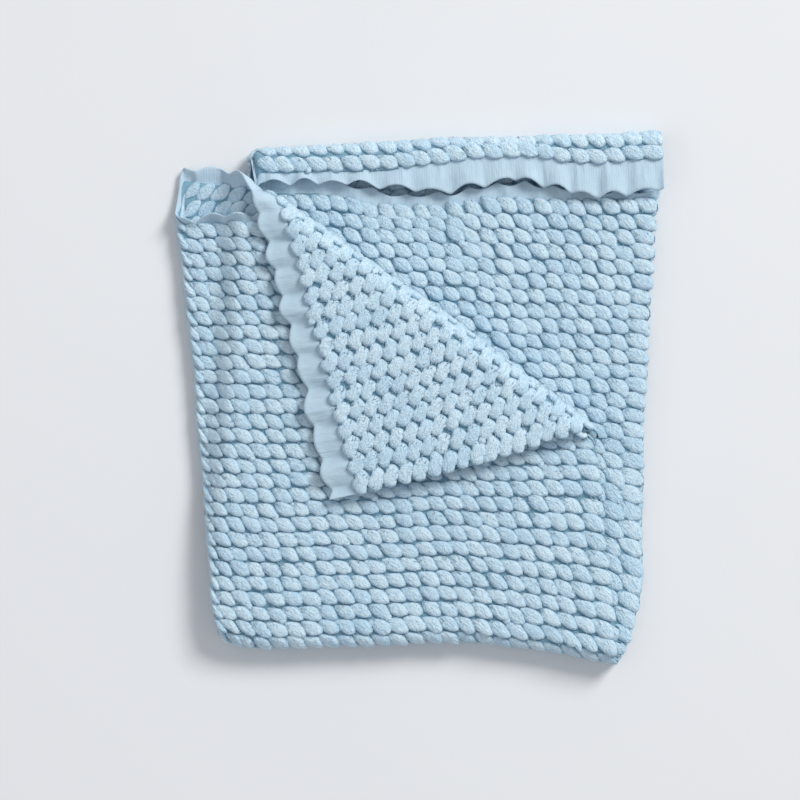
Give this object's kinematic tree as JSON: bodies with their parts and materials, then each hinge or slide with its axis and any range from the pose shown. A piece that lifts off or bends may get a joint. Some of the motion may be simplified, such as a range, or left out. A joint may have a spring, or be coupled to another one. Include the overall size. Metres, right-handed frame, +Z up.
{
  "type": "folded baby blanket",
  "caption": "Baby blanket of puffy waffle-weave cotton with ruffled plain-weave hems, folded into a stack with one corner turned back.",
  "frame": {"origin": "centre of the bounding box's bottom face, on the surface that the folded blanket lies on", "axes": "+Z up out of the surface, +Y towards the folded blanket's open hem ends, +X towards its selvedge side"},
  "size_m": [0.4524, 0.4924, 0.0494],
  "materials": {
    "blue_cotton": "matt, brushed cotton, slightly fuzzy"
  },
  "bodies": {
    "root": {"blanket": "blue_cotton"}
  },
  "joints": []
}
